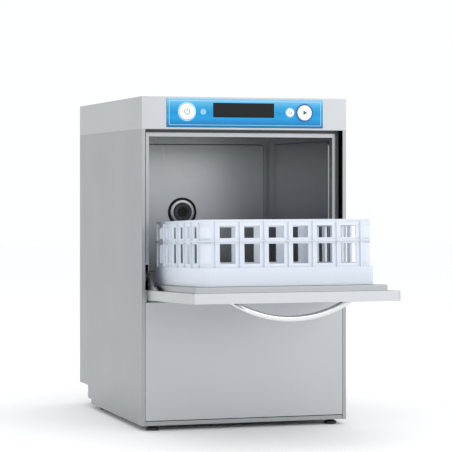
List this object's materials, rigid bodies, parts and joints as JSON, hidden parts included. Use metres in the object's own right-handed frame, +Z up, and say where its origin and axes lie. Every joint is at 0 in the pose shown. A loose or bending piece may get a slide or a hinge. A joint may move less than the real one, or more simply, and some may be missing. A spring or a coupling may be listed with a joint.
{
  "type": "commercial dishwasher",
  "caption": "Undercounter front-loading commercial dishwasher: stainless cabinet, drop-down door that carries a sliding glass rack, spray arms above and below, and a blue push-button panel.",
  "frame": {"origin": "on the floor, at the middle of the outline with the door open", "axes": "+X the machine's right seen from the front, +Y to the back, away from the open door, +Z up"},
  "size_m": [0.435, 0.906, 0.67],
  "materials": {
    "stainless_outer": "satin brushed stainless steel",
    "stainless_chamber": "satin stainless steel",
    "stainless_bar": "polished stainless bar",
    "galvanised_steel": "plain sheet steel",
    "zinc_fasteners": "zinc plated",
    "black_plastic": "black moulded plastic",
    "black_rubber": "black rubber",
    "grey_plastic": "grey moulded plastic",
    "motor_paint": "dark painted motor case",
    "boiler_steel": "stainless boiler shell",
    "circuit_board": "green circuit board",
    "blue_overlay": "blue polyester overlay, lighter at the top",
    "display_glass": "dark display window",
    "lamp_lens": "blue lamp lens",
    "button_blue": "dark blue ring",
    "button_white": "pale button caps",
    "rack_plastic": "bluish white polypropylene"
  },
  "bodies": {
    "cabinet": {"side_panel_left": "stainless_outer", "side_panel_right": "stainless_outer", "lid": "stainless_outer", "front_panel": "stainless_outer", "front_frame": "stainless_chamber", "chamber_side_walls": "stainless_chamber", "chamber_rear_wall": "stainless_chamber", "chamber_ceiling": "stainless_chamber", "wash_tank": "stainless_chamber", "tank_filter": "stainless_chamber", "sump_strainer": "stainless_chamber", "rack_rails": "stainless_chamber", "upper_manifold": "stainless_chamber", "lower_manifold": "stainless_chamber", "tank_heater": "stainless_bar", "rear_panel": "galvanised_steel", "base_pan": "galvanised_steel", "rear_floor": "galvanised_steel", "hinge_brackets": "galvanised_steel", "rear_screws": "zinc_fasteners", "foot_nuts": "zinc_fasteners", "door_springs": "zinc_fasteners", "levelling_feet": "black_plastic", "overflow_pipe": "black_plastic", "cable_gland": "black_plastic", "water_inlet_valve": "black_plastic", "drain_spigot": "black_plastic", "dosing_pumps": "black_plastic", "pump_volute": "black_plastic", "button_switches": "black_plastic", "door_seal": "black_rubber", "port_gasket": "black_rubber", "pump_hose": "black_rubber", "drain_hose": "black_rubber", "riser_pipe": "black_rubber", "port_flange": "grey_plastic", "pump_motor": "motor_paint", "boiler": "boiler_steel", "boiler_heater": "boiler_steel", "control_board": "circuit_board", "control_panel": "blue_overlay", "display_window": "display_glass", "indicator_lamp": "lamp_lens", "start_button_ring": "button_blue"},
    "door": {"door_outer_panel": "stainless_outer", "door_inner_liner": "stainless_chamber", "door_handle": "stainless_bar", "handle_screws": "zinc_fasteners", "hinge_arm_left": "stainless_chamber", "hinge_arm_right": "stainless_chamber", "hinge_pins": "zinc_fasteners"},
    "rack": {"glass_rack": "rack_plastic"},
    "lower_wash": {"lower_wash_arm": "stainless_chamber"},
    "lower_rinse": {"lower_rinse_arm": "stainless_chamber"},
    "upper_wash": {"upper_wash_arm": "stainless_chamber"},
    "upper_rinse": {"upper_rinse_arm": "stainless_chamber"},
    "on_off_key": {"on_off_button": "button_white"},
    "start_key": {"start_button": "button_white"},
    "program_key": {"program_button": "button_white"}
  },
  "joints": [
    {"name": "door_hinge", "type": "hinge", "parent": "cabinet", "child": "door", "pos_m": [0, -0.119, 0.268], "axis": [-1, 0, 0], "range_deg": [0, 88.25], "deforming": ["door_springs"]},
    {"name": "rack_slide", "type": "slide", "parent": "door", "child": "rack", "axis": [0, -0.9995, 0.0305], "range_m": [-0.33, 0]},
    {"name": "lower_wash_spin", "type": "hinge", "parent": "cabinet", "child": "lower_wash", "pos_m": [0, 0.102, 0.2515], "axis": [0, 0, 1], "continuous": true},
    {"name": "lower_rinse_spin", "type": "hinge", "parent": "cabinet", "child": "lower_rinse", "pos_m": [0, 0.102, 0.2625], "axis": [0, 0, 1], "continuous": true},
    {"name": "upper_wash_spin", "type": "hinge", "parent": "cabinet", "child": "upper_wash", "pos_m": [0, 0.102, 0.6175], "axis": [0, 0, 1], "continuous": true},
    {"name": "upper_rinse_spin", "type": "hinge", "parent": "cabinet", "child": "upper_rinse", "pos_m": [0, 0.102, 0.6065], "axis": [0, 0, 1], "continuous": true},
    {"name": "on_off_press", "type": "slide", "parent": "cabinet", "child": "on_off_key", "axis": [0, 1, 0], "range_m": [0, 0.0015], "stiffness_N_per_m": 400},
    {"name": "start_press", "type": "slide", "parent": "cabinet", "child": "start_key", "axis": [0, 1, 0], "range_m": [0, 0.0015], "stiffness_N_per_m": 400},
    {"name": "program_press", "type": "slide", "parent": "cabinet", "child": "program_key", "axis": [0, 1, 0], "range_m": [0, 0.0015], "stiffness_N_per_m": 400}
  ]
}
